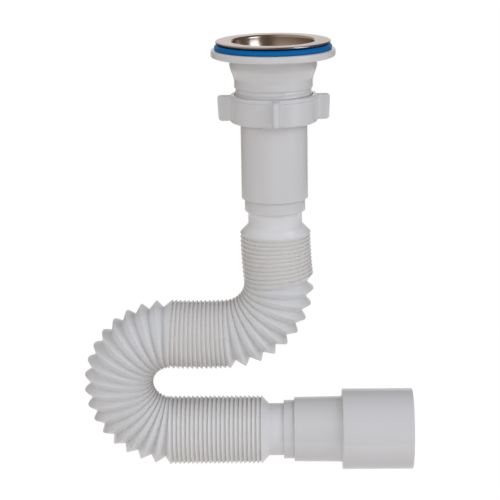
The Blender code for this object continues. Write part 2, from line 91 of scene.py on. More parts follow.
BUFFING_LINE = 1.11 * MM
BUFFING_CLOUD = 18.2 * MM
SHARP_EDGE = 35
cup_low, cup_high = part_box("strainer_cup")
cup_rim_radius = cup_high.x
cup_rim_top = cup_high.z
cup_floor = cup_low.z + CUP_SHEET + CUP_DIMPLE_DEPTH


def colour(code):
    """Linear colour of an sRGB hex value."""
    channels = [int(code[i:i + 2], 16) / 255 for i in (1, 3, 5)]
    linear = [c / 12.92 if c <= 0.04045 else ((c + 0.055) / 1.055) ** 2.4 for c in channels]
    return (*linear, 1.0)


def add_node(tree, kind, settings=None, links=None):
    """Add a shader node, set its properties or inputs by name or number, and link its inputs."""
    node = tree.nodes.new(kind)
    for name, value in (settings or {}).items():
        if isinstance(name, str) and hasattr(node, name):
            setattr(node, name, value)
        else:
            node.inputs[name].default_value = value
    for name, source in (links or {}).items():
        tree.links.new(source, node.inputs[name])
    return node


def new_finish(name):
    """A material that holds only a Principled shader: its tree, and that shader."""
    finish = bpy.data.materials.new(name)
    finish.use_nodes = True
    shader = finish.node_tree.nodes["Principled BSDF"]
    return finish, finish.node_tree, shader


def arc(centre, radius, start, end, points):
    """Points of an arc in a profile, angles in degrees from the radius towards the height."""
    angles = np.radians(np.linspace(start, end, points))
    return [(centre[0] + radius * math.cos(a), centre[1] + radius * math.sin(a)) for a in angles]


def turned_piece(name, profile, steps, closed=True):
    """Turn a profile of (radius, height) points about Z. It runs down its outer side."""
    rows = len(profile)
    angles = np.arange(steps) * 2 * math.pi / steps
    points = []
    for radius, height in profile:
        points += [(radius * math.cos(a), radius * math.sin(a), height) for a in angles]
    faces = []
    for row in range(rows if closed else rows - 1):
        following = (row + 1) % rows
        for step in range(steps):
            beside = (step + 1) % steps
            faces.append((row * steps + step, following * steps + step,
                          following * steps + beside, row * steps + beside))
    return mesh_piece(name, points, faces)


def shade(mesh, sharp=SHARP_EDGE):
    """Shade a mesh smooth, apart from the edges over the sharp angle, in degrees."""
    mesh.shade_smooth()
    mesh.set_sharp_from_angle(angle=math.radians(sharp))


def mesh_piece(name, points, faces, sharp=SHARP_EDGE):
    """A shaded object from points and faces."""
    mesh = bpy.data.meshes.new(name)
    mesh.from_pydata([tuple(p) for p in points], [], faces)
    mesh.validate()
    shade(mesh, sharp)
    made = bpy.data.objects.new(name, mesh)
    bpy.context.scene.collection.objects.link(made)
    return made


def settle(piece):
    """Apply a piece's modifiers."""
    graph = bpy.context.evaluated_depsgraph_get()
    finished = bpy.data.meshes.new_from_object(piece.evaluated_get(graph))
    piece.modifiers.clear()
    piece.data = finished


def rod(name, radius, low, high, sides, centre=(0.0, 0.0)):
    """An upright rod, used as a drill or as a boss."""
    mesh = bpy.data.meshes.new(name)
    form = bmesh.new()
    bmesh.ops.create_cone(
        form, cap_ends=True, segments=sides, radius1=radius, radius2=radius, depth=high - low
    )
    form.to_mesh(mesh)
    form.free()
    made = bpy.data.objects.new(name, mesh)
    made.location = (centre[0], centre[1], (low + high) / 2)
    bpy.context.scene.collection.objects.link(made)
    return made


def combine(piece, tool, operation):
    """Cut a piece with a tool or join the tool to it, and remove the tool."""
    step = piece.modifiers.new(tool.name, "BOOLEAN")
    step.operation = operation
    step.object = tool
    bpy.context.view_layer.update()
    settle(piece)
    bpy.data.objects.remove(tool, do_unlink=True)


def dress(piece, finish, body, slot, *nodes):
    """Give a piece its finish and its body, and hide the CAD nodes that it stands for. The slot is not
    used.
    """
    piece.data.materials.clear()
    piece.data.materials.append(finish)
    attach(piece, body)
    if nodes:
        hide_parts(*nodes)


def polished_stainless():
    """Stainless sheet, pressed and buffed: clear reflections, softer in places. The buffing
    lines are drawn coarser than real ones, so that they show."""
    finish, tree, shader = new_finish("polished_stainless")
    place = add_node(tree, "ShaderNodeTexCoord")
    lines = add_node(tree, "ShaderNodeTexNoise", {"Scale": 1 / BUFFING_LINE, "Detail": 3.0},
                     {"Vector": place.outputs["Object"]})
    cloud = add_node(tree, "ShaderNodeTexNoise", {"Scale": 1 / BUFFING_CLOUD, "Detail": 4.0},
                     {"Vector": place.outputs["Object"]})
    rough = add_node(tree, "ShaderNodeMapRange", {"To Min": 0.17, "To Max": 0.27},
                     {"Value": cloud.outputs["Fac"]})
    bump = add_node(tree, "ShaderNodeBump", {"Strength": 0.03, "Distance": 0.02 * MM},
                    {"Height": lines.outputs["Fac"]})
    shader.inputs["Base Color"].default_value = colour("#B8B0AA")
    shader.inputs["Specular Tint"].default_value = colour("#F4EEED")
    shader.inputs["Metallic"].default_value = 1.0
    tree.links.new(rough.outputs["Result"], shader.inputs["Roughness"])
    tree.links.new(bump.outputs["Normal"], shader.inputs["Normal"])
    return finish


def bowl_wall():
    """The recess from its flat floor up to just below the shoulder, as one smooth curve."""
    bottom = np.array((CUP_FLOOR_FLAT, cup_floor))
    bottom_pull = bottom + (CUP_FLOOR_REACH, 0.0)
    top = np.array((CUP_MOUTH_RADIUS, cup_rim_top - CUP_SHOULDER))
    top_pull = top - (CUP_WALL_LEAN, CUP_WALL_DROP)
    wall = []
    for share in np.linspace(0, CUP_WALL_END, CUP_WALL_POINTS):
        rest = 1 - share
        wall.append(rest ** 3 * bottom + 3 * share * rest ** 2 * bottom_pull
                    + 3 * share ** 2 * rest * top_pull + share ** 3 * top)
    return wall


stainless = polished_stainless()
dimple_floor = cup_floor - CUP_DIMPLE_DEPTH
cup_upper = [(CUP_SCREW_HOLE, dimple_floor), (CUP_DIMPLE_RADIUS - CUP_DIMPLE_DEPTH, dimple_floor)]
cup_upper.append((CUP_DIMPLE_RADIUS - CUP_DIMPLE_EDGE, cup_floor - CUP_DIMPLE_EDGE))
cup_upper.append((CUP_DIMPLE_RADIUS + CUP_DIMPLE_EDGE, cup_floor))
cup_upper += bowl_wall()
cup_upper += arc((CUP_MOUTH_RADIUS + CUP_SHOULDER, cup_rim_top - CUP_SHOULDER),
                 CUP_SHOULDER, 170, 90, 10)
cup_upper += arc((cup_rim_radius - CUP_RIM_EDGE, cup_rim_top - CUP_RIM_EDGE), CUP_RIM_EDGE, 90, -20, 8)
cup_upper.append((cup_rim_radius - CUP_RIM_TURN_IN, CUP_RIM_BOTTOM))
cup = turned_piece("strainer_cup_sheet", cup_upper[::-1], CUP_TURN_STEPS, closed=False)
thicken = cup.modifiers.new("sheet", "SOLIDIFY")
thicken.thickness = CUP_SHEET
thicken.offset = 1.0
thicken.use_even_offset = True
settle(cup)
for hole in range(CUP_HOLES):
    turn = 2 * math.pi * (hole + 0.5) / CUP_HOLES
    centre = (CUP_HOLE_CIRCLE * math.cos(turn), CUP_HOLE_CIRCLE * math.sin(turn))
    low, high = cup_floor - 3 * CUP_SHEET, cup_floor + 2 * CUP_SHEET
    combine(cup, rod("drill", CUP_HOLE_RADIUS, low, high, 40, centre), "DIFFERENCE")
shade(cup.data)
dress(cup, stainless, "waste_head", "steel", "strainer_cup")

# Cup screw and captive nut: a slotted stainless screw through the dimple, and the brass nut
# that it pulls on, pressed into the boss of the spider. Both keep the shape of the frame's solids.
BRASS_MARK = 2.5 * MM
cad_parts["cup_screw"].data.materials.clear()
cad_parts["cup_screw"].data.materials.append(stainless)


def machined_brass():
    """Brass bar, turned and tapped: a dull yellow metal."""
    finish, tree, shader = new_finish("machined_brass")
    shader.inputs["Base Color"].default_value = colour("#C9A85C")
    shader.inputs["Metallic"].default_value = 1.0
    place = add_node(tree, "ShaderNodeTexCoord")
    marks = add_node(tree, "ShaderNodeTexNoise", {"Scale": 1 / BRASS_MARK},
                     {"Vector": place.outputs["Object"]})
    rough = add_node(tree, "ShaderNodeMapRange", {"To Min": 0.25, "To Max": 0.4},
                     {"Value": marks.outputs["Fac"]})
    tree.links.new(rough.outputs["Result"], shader.inputs["Roughness"])
    return finish


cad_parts["captive_nut"].data.materials.clear()
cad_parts["captive_nut"].data.materials.append(machined_brass())

# Sink gasket: a moulded ring of blue thermoplastic rubber, a little soft and glossy. It stands
# between the rim and the flange, with a bevel at its upper edge.
GASKET_BORE = 26.4 * MM
GASKET_BEVEL = 1.0 * MM
GASKET_ROUND = 0.3 * MM
RUBBER_CLOUD = 8.33 * MM
# Numbers of the colour sockets on a Mix node
MIX_A, MIX_B, MIX_RESULT = 6, 7, 2
gasket_low, gasket_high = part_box("sink_gasket")
gasket_radius = gasket_high.x


def blue_rubber():
    """Moulded rubber in a saturated blue: an even colour with a soft gloss."""
    finish, tree, shader = new_finish("blue_rubber")
    place = add_node(tree, "ShaderNodeTexCoord")
    cloud = add_node(tree, "ShaderNodeTexNoise", {"Scale": 1 / RUBBER_CLOUD, "Detail": 3.0},
                     {"Vector": place.outputs["Object"]})
    tint = add_node(tree, "ShaderNodeMix",
                    {"data_type": "RGBA", MIX_A: colour("#0067AE"), MIX_B: colour("#0060A4")},
                    {"Factor": cloud.outputs["Fac"]})
    tree.links.new(tint.outputs[MIX_RESULT], shader.inputs["Base Color"])
    shader.inputs["Roughness"].default_value = 0.38
    shader.inputs["Specular IOR Level"].default_value = 0.08
    return finish


gasket_profile = [(GASKET_BORE, gasket_high.z)]
gasket_profile += arc((gasket_radius - GASKET_BEVEL - GASKET_ROUND, gasket_high.z - GASKET_ROUND),
                      GASKET_ROUND, 90, 45, 4)
gasket_profile += arc((gasket_radius - GASKET_ROUND, gasket_high.z - GASKET_BEVEL - GASKET_ROUND),
                      GASKET_ROUND, 45, 0, 4)
gasket_profile += arc((gasket_radius - GASKET_ROUND, gasket_low.z + GASKET_ROUND),
                      GASKET_ROUND, 0, -90, 5)
gasket_profile.append((GASKET_BORE, gasket_low.z))
gasket = turned_piece("sink_gasket_ring", gasket_profile, 144)
dress(gasket, blue_rubber(), "waste_head", "blue_rubber", "sink_gasket")

# Waste body: one injection moulding in white polypropylene. The flange and the funnel run into a
# short shank and a moulded thread, and four ribs inside hold the boss for the screw.
FLANGE_ROUND = 1.2 * MM
FLANGE_THICKNESS = 4.3 * MM
FLANGE_FILLET = 0.7 * MM
FUNNEL_RADIUS = 26.1 * MM
FUNNEL_COLLAR = 4.2 * MM
FUNNEL_HEIGHT = 10.5 * MM
SHANK_RADIUS = 23.4 * MM
SHANK_HEIGHT = 3.6 * MM
SHANK_EDGE = 0.35 * MM
THREAD_RADIUS = 23.0 * MM
THREAD_ROOT_RADIUS = 22.6 * MM
THREAD_PITCH = 2.309 * MM
THREAD_SUNK = 0.05 * MM
THREAD_START = 0.55
THREAD_PLAIN_TURNS = 1.0
THREAD_FADE = 1 / 6
THREAD_LEAST_FADE = 0.02
# Profile of the ridge: shares of its height, and of the pitch up and down from its crest
THREAD_SECTION = [(0.0, 0.46), (0.85, 0.14), (1.0, 0.0), (0.85, -0.14), (0.0, -0.46)]
BODY_WALL = 2.0 * MM
BORE_RADIUS = 20.3 * MM
SEAT_CHAMFER = 1.6 * MM
SEAT_CHAMFER_HEIGHT = 2.4 * MM
THROAT_RADIUS = 18.5 * MM
THROAT_LEDGE = 2.0 * MM
TAIL_INSERTION = 13.0 * MM
RIB_THICKNESS = 2.4 * MM
RIB_HEIGHT = 9.0 * MM
BOSS_RADIUS = 6.4 * MM
BOSS_HOLE_RADIUS = 2.7 * MM
PLAY = 0.3 * MM
FLOW_CLOUD = 45.5 * MM
MOULD_GRAIN = 1.43 * MM
body_low, body_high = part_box("waste_body")
flange_radius = body_high.x
flange_top = body_high.z
flange_bottom = flange_top - FLANGE_THICKNESS
collar_bottom = flange_bottom - FUNNEL_COLLAR
funnel_bottom = collar_bottom - FUNNEL_HEIGHT
shank_bottom = funnel_bottom - SHANK_HEIGHT
body_bottom = body_low.z
body_ledge = body_bottom + TAIL_INSERTION


def moulded_polypropylene(name, light, dark, roughness):
    """White polypropylene as it leaves the mould: satin, slightly milky, with faint flow clouds.
    The grain of the mould is drawn coarser than a real one, so that it softens the gloss."""
    finish, tree, shader = new_finish(name)
    place = add_node(tree, "ShaderNodeTexCoord")
    flow = add_node(tree, "ShaderNodeTexNoise",
                    {"Scale": 1 / FLOW_CLOUD, "Detail": 5.0, "Roughness": 0.55},
                    {"Vector": place.outputs["Object"]})
    tint = add_node(tree, "ShaderNodeMix",
                    {"data_type": "RGBA", MIX_A: colour(light), MIX_B: colour(dark)},
                    {"Factor": flow.outputs["Fac"]})
    tree.links.new(tint.outputs[MIX_RESULT], shader.inputs["Base Color"])
    gloss = add_node(tree, "ShaderNodeMapRange",
                     {"To Min": roughness - 0.05, "To Max": roughness + 0.06},
                     {"Value": flow.outputs["Fac"]})
    tree.links.new(gloss.outputs["Result"], shader.inputs["Roughness"])
    skin = add_node(tree, "ShaderNodeTexNoise", {"Scale": 1 / MOULD_GRAIN, "Detail": 2.0},
                    {"Vector": place.outputs["Object"]})
    bump = add_node(tree, "ShaderNodeBump", {"Strength": 0.06, "Distance": 0.05 * MM},
                    {"Height": skin.outputs["Fac"]})
    tree.links.new(bump.outputs["Normal"], shader.inputs["Normal"])
    shader.inputs["IOR"].default_value = 1.49
    return finish


white_moulding = moulded_polypropylene("white_polypropylene", "#CCCDD0", "#C7C7C9", 0.2)


def funnel_outline(points):
    """The funnel's outer side, from the collar down to the shank."""
    outline = []
    for share in np.linspace(0, 1, points):
        drop = (1 + math.cos(math.pi * share)) / 2
        radius = SHANK_RADIUS + (FUNNEL_RADIUS - SHANK_RADIUS) * drop
        outline.append((radius, collar_bottom - FUNNEL_HEIGHT * share))
    return outline


funnel = funnel_outline(18)
flange_edge = flange_radius - FLANGE_ROUND
body_profile = arc((flange_edge, flange_top - FLANGE_ROUND), FLANGE_ROUND, 90, 0, 7)
body_profile += arc((flange_edge, flange_bottom + FLANGE_ROUND), FLANGE_ROUND, 0, -90, 7)
body_profile += arc((FUNNEL_RADIUS + FLANGE_FILLET, flange_bottom - FLANGE_FILLET),
                    FLANGE_FILLET, 90, 180, 6)
body_profile += funnel
body_profile += arc((SHANK_RADIUS - SHANK_EDGE, shank_bottom + SHANK_EDGE), SHANK_EDGE, 0, -90, 4)
body_profile += [(THREAD_ROOT_RADIUS, shank_bottom), (THREAD_ROOT_RADIUS, body_bottom)]
body_profile.append((BORE_RADIUS + SEAT_CHAMFER, body_bottom))
body_profile.append((BORE_RADIUS, body_bottom + SEAT_CHAMFER_HEIGHT))
body_profile += [(BORE_RADIUS, body_ledge), (THROAT_RADIUS, body_ledge)]
body_profile += [(THROAT_RADIUS, body_ledge + THROAT_LEDGE)]
body_profile += [(radius - BODY_WALL, height) for radius, height in reversed(funnel)]
body_profile += [(FUNNEL_RADIUS - BODY_WALL, flange_bottom), (GASKET_BORE, flange_top)]
body_shell = turned_piece("waste_body_moulding", body_profile, 144)
dress(body_shell, white_moulding, "waste_head", "white_plastic", "waste_body")


def thread_ridge(name, root, crest, pitch, start, turns, steps_per_turn=96):
    """The ridge of a thread: a rounded triangle swept down a helix, fading in at both ends."""
    total = int(turns * steps_per_turn)
    points = []
    for step in range(total + 1):
        angle = 2 * math.pi * step / steps_per_turn
        fade = min(1.0, min(step, total - step) / (steps_per_turn * THREAD_FADE))
        height = start - pitch * step / steps_per_turn
        for reach, across in THREAD_SECTION:
            radius = root - THREAD_SUNK + (crest - root) * reach * max(fade, THREAD_LEAST_FADE)
            points.append((radius * math.cos(-angle), radius * math.sin(-angle),
                           height + across * pitch))
    width = len(THREAD_SECTION)
    faces = [tuple(range(width))]
    for step in range(total):
        for i in range(width - 1):
            here = step * width + i
            faces.append((here, here + width, here + width + 1, here + 1))
    faces.append(tuple(range(total * width + width - 1, total * width - 1, -1)))
    for step in range(total):
        here = step * width
        faces.append((here + width - 1, here + 2 * width - 1, here + width, here))
    return mesh_piece(name, points, faces, sharp=50)


thread_turns = (shank_bottom - body_bottom) / THREAD_PITCH - THREAD_PLAIN_TURNS
thread = thread_ridge("waste_body_thread", THREAD_ROOT_RADIUS, THREAD_RADIUS, THREAD_PITCH,
                      shank_bottom - THREAD_PITCH * THREAD_START, thread_turns)
dress(thread, white_moulding, "waste_head", "white_plastic")


def rib(turn):
    """One straight rib right across the body, turned about the axis by some degrees."""
    form = bmesh.new()
    bmesh.ops.create_cube(form, size=1.0)
    size = (2 * (SHANK_RADIUS - BODY_WALL / 2), RIB_THICKNESS, RIB_HEIGHT)
    bmesh.ops.scale(form, vec=Vector(size), verts=form.verts)
    mesh = bpy.data.meshes.new("rib")
    form.to_mesh(mesh)
    form.free()
    made = bpy.data.objects.new("rib", mesh)
    made.location.z = spider_bottom + RIB_HEIGHT / 2
    made.rotation_euler.z = math.radians(turn)
    bpy.context.scene.collection.objects.link(made)
    return made


hex_low, hex_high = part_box("captive_nut")
boss_top = cup_low.z - PLAY
spider_bottom = hex_low.z
pocket_radius = (hex_high.x + PLAY) / math.cos(math.pi / 6)
spider = rod("spider_boss_and_ribs", BOSS_RADIUS, spider_bottom, boss_top, 64)
for turn in (45, 135):
    combine(spider, rib(turn), "UNION")
combine(spider, rod("drill", BOSS_HOLE_RADIUS, spider_bottom - RIB_HEIGHT, boss_top + RIB_HEIGHT, 32),
        "DIFFERENCE")
combine(spider, rod("pocket", pocket_radius, spider_bottom - RIB_HEIGHT, hex_high.z + PLAY, 6),
        "DIFFERENCE")
shade(spider.data)
dress(spider, white_moulding, "waste_head", "white_plastic")

# Union nut: a hand nut moulded in white polypropylene, with four wings. The wings run into the
# drum with soft fillets, and the mould has rounded all their edges.
NUT_RADIUS = 26.0 * MM
NUT_FLOOR = 3.2 * MM
NUT_TOP_BEVEL = 1.2 * MM
NUT_LIP_HEIGHT = 2.4 * MM
NUT_LIP_GROOVE = 0.25 * MM
NUT_BOTTOM_ROUND = 1.5 * MM
NUT_BORE_RADIUS = 23.3 * MM
NUT_FLOOR_RADIUS = 20.6 * MM
WINGS = 4
NUT_TURN = 3.0
WING_REACH = 33.5 * MM
WING_HALF_THICKNESS = 1.8 * MM
WING_TOP_MARGIN = 0.3 * MM
WING_BOTTOM_MARGIN = 0.9 * MM
WING_TOP_CORNER = 2.0 * MM
WING_BOTTOM_CORNER = 1.9 * MM
WING_DRAFT = 0.7 * MM
WING_EDGE = 1.0 * MM
WING_FILLET = 2.6 * MM
WING_STEP = 0.01 * MM
# Rows near a wing's ends in millimetres, and columns near its middle in degrees
WING_ROWS = [0.0, 0.02, 0.08, 0.2, 0.4, 0.7, 1.0, 1.4, 1.8, 2.3, 3.0, 4.0]
WING_COLUMNS = [0, 0.8, 1.5, 2.0, 2.4, 2.7, 2.9, 3.05, 3.2, 3.4, 3.6, 3.8, 4.0, 4.3, 4.7, 5.2, 5.8,
                6.5, 7.3, 8.2, 9.2, 10.4, 12]
WING_SEARCH_STEPS = 24
DRUM_COLUMNS = 12
NUT_MOUTH_HEIGHT = 0.5 * MM
NUT_MOUTH_FLARE = 0.1 * MM
nut_low, nut_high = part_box("union_nut")
nut_top, nut_bottom = nut_high.z, nut_low.z
wing_top = nut_top - WING_TOP_MARGIN
wing_bottom = nut_bottom + WING_BOTTOM_MARGIN


def inset(distance, rounding):
    """How far a rounded corner stands back, at a distance from its end."""
    if distance >= rounding:
        return 0.0
    return rounding - math.sqrt(max(rounding ** 2 - (rounding - max(distance, 0.0)) ** 2, 0.0))


def wing_radius(angle, height, drum):
    """Radius of the nut's outside at an angle from a wing's middle and at a height."""
    from_end = min(wing_top - height, height - wing_bottom)
    if from_end < 0:
        return drum
    reach = WING_REACH - WING_DRAFT * (wing_top - height) / (wing_top - wing_bottom)
    reach -= inset(wing_top - height, WING_TOP_CORNER)
    reach -= inset(height - wing_bottom, WING_BOTTOM_CORNER)
    half = WING_HALF_THICKNESS - inset(from_end, WING_EDGE)
    slope = abs(math.sin(angle))
    best = drum
    low, high = drum, reach
    for _ in range(WING_SEARCH_STEPS):
        radius = (low + high) / 2
        flare = 0.0
        if radius < NUT_RADIUS + WING_FILLET and from_end > 0:
            flare = inset(radius - NUT_RADIUS, WING_FILLET) * min(1.0, from_end / WING_EDGE)
        tip = inset(reach - radius, WING_EDGE)
        if radius * slope <= half + flare - tip:
            best = radius
            low = radius
        else:
            high = radius
    return max(best, drum)


def nut_outline():
    """The drum's outer side as (radius, height), with rows close together at the wings' ends."""
    rows = arc((NUT_RADIUS - NUT_TOP_BEVEL, nut_top - NUT_TOP_BEVEL), NUT_TOP_BEVEL, 90, 0, 7)
    lip = nut_top - NUT_LIP_HEIGHT
    rows += [(NUT_RADIUS, lip + NUT_LIP_GROOVE), (NUT_RADIUS - NUT_LIP_GROOVE, lip)]
    rows.append((NUT_RADIUS, lip - NUT_LIP_GROOVE))
    heights = [wing_top + WING_STEP, wing_bottom - WING_STEP]
    for distance in WING_ROWS:
        heights += [wing_top - distance * MM, wing_bottom + distance * MM]
    lowest_straight = nut_bottom + NUT_BOTTOM_ROUND
    for height in sorted(set(heights), reverse=True):
        stand_back = inset(nut_top - height, NUT_TOP_BEVEL)
        stand_back += max(0.0, NUT_LIP_GROOVE - abs(height - lip))
        rows.append((NUT_RADIUS - stand_back, height))
    rows.append((NUT_RADIUS, (lowest_straight + wing_bottom) / 2))
    rows += arc((NUT_RADIUS - NUT_BOTTOM_ROUND, lowest_straight), NUT_BOTTOM_ROUND, 0, -90, 7)
    return sorted(rows, key=lambda row: (-row[1], row[0]))


def winged_nut():
    """The nut as rows of points round its axis, closer together at the wings."""
    outer = nut_outline()
    inner = [(NUT_FLOOR_RADIUS, nut_bottom), (NUT_FLOOR_RADIUS, nut_bottom + NUT_FLOOR)]
    inner += [(NUT_BORE_RADIUS, nut_bottom + NUT_FLOOR), (NUT_BORE_RADIUS, nut_top - NUT_MOUTH_HEIGHT)]
    inner += [(NUT_BORE_RADIUS + NUT_MOUTH_FLARE, nut_top)]
    near = np.radians(WING_COLUMNS)
    between = np.linspace(near[-1], math.pi / WINGS, DRUM_COLUMNS)[1:]
    half = list(near) + list(between)
    sector = [-a for a in reversed(half[1:-1])] + half
    angles = []
    offsets = []
    for wing in range(WINGS):
        for offset in sector:
            angles.append(math.radians(NUT_TURN) + wing * 2 * math.pi / WINGS + offset)
            offsets.append(offset)
    points = []
    for radius, height in outer:
        for angle, offset in zip(angles, offsets):
            reach = wing_radius(offset, height, radius)
            points.append((reach * math.cos(angle), reach * math.sin(angle), height))
    for radius, height in inner:
        for angle in angles:
            points.append((radius * math.cos(angle), radius * math.sin(angle), height))
    rows = len(outer) + len(inner)
    columns = len(angles)
    faces = []
    for row in range(rows):
        below = (row + 1) % rows
        for column in range(columns):
            beside = (column + 1) % columns
            faces.append((row * columns + column, below * columns + column,
                          below * columns + beside, row * columns + beside))
    return mesh_piece("union_nut_moulding", points, faces, sharp=40)


nut = winged_nut()
dress(nut, white_moulding, "nut", "white_plastic", "union_nut")

# Cone washer: a moulded ring of grey rubber, squeezed between the nut and the waste body so that
# it grips the tail pipe. It is hidden inside the nut and keeps the shape of the frame's solid.
WASHER_CLOUD = 5.0 * MM


def grey_rubber():
    """Moulded grey rubber, matt."""
    finish, tree, shader = new_finish("grey_rubber")
    place = add_node(tree, "ShaderNodeTexCoord")
    cloud = add_node(tree, "ShaderNodeTexNoise", {"Scale": 1 / WASHER_CLOUD},
                     {"Vector": place.outputs["Object"]})
    rough = add_node(tree, "ShaderNodeMapRange", {"To Min": 0.55, "To Max": 0.7},
                     {"Value": cloud.outputs["Fac"]})
    shader.inputs["Base Color"].default_value = colour("#8E8E90")
    tree.links.new(rough.outputs["Result"], shader.inputs["Roughness"])
    return finish


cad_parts["cone_washer"].data.materials.clear()
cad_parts["cone_washer"].data.materials.append(grey_rubber())

# Tail pipe: white polypropylene, 40 mm outside. It slides up through the nut, and the ring at its
# lower end has the snap groove that holds the hose.
PIPE_WALL = 1.8 * MM
PIPE_EDGE = 0.5 * MM
RING_RADIUS = 18.2 * MM
RING_EDGE = 0.3 * MM
TAIL_RING_LENGTH = 7.6 * MM
SOCKET_RADIUS = 16.5 * MM
SOCKET_DEPTH = 10.3 * MM
SOCKET_STOP = 1.8 * MM
SOCKET_STOP_RADIUS = 15.2 * MM
BEAD_HEIGHT = 0.8 * MM
BEAD_LENGTH = 2.4 * MM
BEAD_FROM_END = 3.4 * MM
tail_low, tail_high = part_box("tail_pipe")
tail_radius = tail_high.x
tail_shoulder = tail_low.z + TAIL_RING_LENGTH


def socket_outline(mouth):
    """Inner side of the snap socket, from its mouth up to its stop."""
    stop = mouth + SOCKET_DEPTH
    groove_far = stop - BEAD_FROM_END + PLAY
    groove_near = groove_far - BEAD_LENGTH - 2 * PLAY
    groove_radius = SOCKET_RADIUS + BEAD_HEIGHT
    return [
        (SOCKET_RADIUS + RING_EDGE, mouth), (SOCKET_RADIUS, mouth + RING_EDGE),
        (SOCKET_RADIUS, groove_near), (groove_radius, groove_near + BEAD_HEIGHT),
        (groove_radius, groove_far - BEAD_HEIGHT),
        (SOCKET_RADIUS, groove_far), (SOCKET_RADIUS, stop), (SOCKET_STOP_RADIUS, stop),
        (SOCKET_STOP_RADIUS, stop + SOCKET_STOP),
    ]


tail_bore = tail_radius - PIPE_WALL
tail_profile = [(tail_bore, tail_high.z), (tail_radius - PIPE_EDGE, tail_high.z)]
tail_profile += [(tail_radius, tail_high.z - PIPE_EDGE)]
tail_profile += arc((tail_radius - PIPE_EDGE, tail_shoulder + PIPE_EDGE), PIPE_EDGE, 0, -90, 5)
tail_profile += [(RING_RADIUS + RING_EDGE, tail_shoulder), (RING_RADIUS, tail_shoulder - RING_EDGE)]
tail_profile += arc((RING_RADIUS - RING_EDGE, tail_low.z + RING_EDGE), RING_EDGE, 0, -90, 4)
tail_profile += socket_outline(tail_low.z)
tail_profile.append((tail_bore, tail_profile[-1][1] + tail_bore - SOCKET_STOP_RADIUS))
tail = turned_piece("tail_pipe_moulding", tail_profile, 128)
dress(tail, white_moulding, "tail", "white_plastic", "tail_pipe")

# Bellows hose: polypropylene, extruded and blown into folds, with a plain neck at each end. The
# folds snap shut in the slack runs, and open on the outer side of the elbow and the U-bend.
NECK_RADIUS = 16.2 * MM
NECK_WALL = 1.3 * MM
NECK_FILLET = 0.8 * MM
NECK_FLARE_START = 0.06 * MM
NECK_FLARE = 0.25 * MM
INLET_NECK_SHOWING = 8.7 * MM
OUTLET_NECK_SHOWING = 9.4 * MM
INLET_CONE = 5.0 * MM
OUTLET_CONE = 4.5 * MM
FOLD_RADIUS = 21.3 * MM
FOLD_DEPTH = 4.8 * MM
FOLD_OPENING = 0.88
FOLD_SNAP = 1.4
FOLD_WALL = 1.0 * MM
FOLD_EDGE = 0.28 * MM
OPEN_FLANK_SHARE = 0.6
CLOSED_FLANK_LEAN = 0.46
UPPER_FOLDS = 11
UPPER_PITCH = 2.55 * MM
UPPER_LEAN = 6.3
ELBOW_FOLDS = 9
ELBOW_RADIUS = 33.0 * MM
ELBOW_TURN = 93.3
MIDDLE_FOLDS = 13
MIDDLE_PITCH = 2.73 * MM
MIDDLE_TURN = 6.3
SEAL_FOLDS = 17
SEAL_RADIUS = 31.4 * MM
LOWER_FOLDS = 21
LOWER_PITCH = 2.70 * MM
HOSE_SIDES = 112
BELLOWS_SHARP_EDGE = 85
BLOWN_CLOUD = 33.3 * MM
seal_turn = 90 - UPPER_LEAN + ELBOW_TURN + MIDDLE_TURN
side_angles = np.arange(HOSE_SIDES) * 2 * math.pi / HOSE_SIDES
inside_bend = np.cos(side_angles)


def advance(place, distance, curvature):
    """Follow the hose's centreline from a place, which is x, z and heading in radians."""
    x, z, heading = place
    if not curvature:
        return (x + distance * np.cos(heading), z + distance * np.sin(heading), heading)
    turned_to = heading + distance * curvature
    x = x + (np.sin(turned_to) - np.sin(heading)) / curvature
    z = z - (np.cos(turned_to) - np.cos(heading)) / curvature
    return (x, z, turned_to)


def hose_ring(place, along, curvature, radii):
    """Points of one ring. Each side may have its own way along the centreline and its own radius."""
    x, z, heading = advance(place, along + np.zeros(HOSE_SIDES), curvature)
    return np.column_stack((x - np.sin(heading) * inside_bend * radii, np.sin(side_angles) * radii,
                            z + np.cos(heading) * inside_bend * radii))


def fold_rings(place, pitch, curvature):
    """Outer and inner rings of one fold, from its crest on: long flank, valley, short flank.
    Each outer ring also has how deep it lies in a shut groove, from 0 to 1."""
    length = pitch * (1 - curvature * FOLD_RADIUS * inside_bend)
    opening = np.tanh((FOLD_OPENING * length / FOLD_DEPTH) ** FOLD_SNAP)
    valley = length * (OPEN_FLANK_SHARE + CLOSED_FLANK_LEAN * (1 - opening))
    depth = FOLD_DEPTH * opening
    soft = FOLD_EDGE / np.hypot(valley, depth)
    outline = [(0.0, soft * depth / 3)]
    outline += [(valley * share, depth * share) for share in (soft, 2 * soft, 1 - 2 * soft, 1 - soft)]
    outline.append((valley, depth * (1 - soft / 3)))
    soft = FOLD_EDGE / np.hypot(length - valley, depth)
    outline += [(valley + (length - valley) * share, depth * (1 - share))
                for share in (soft, 2 * soft, 1 - 2 * soft, 1 - soft)]
    outer = []
    for along, drop in outline:
        ring = hose_ring(place, along / length * pitch, curvature, FOLD_RADIUS - drop)
        outer.append((ring, drop / depth * (1 - opening)))
    inner = []
    for along, drop in ((0.0, 0.0), (valley, depth)):
        ring = hose_ring(place, along / length * pitch, curvature, FOLD_RADIUS - FOLD_WALL - drop)
        inner.append((ring, 1.0))
    return outer, inner


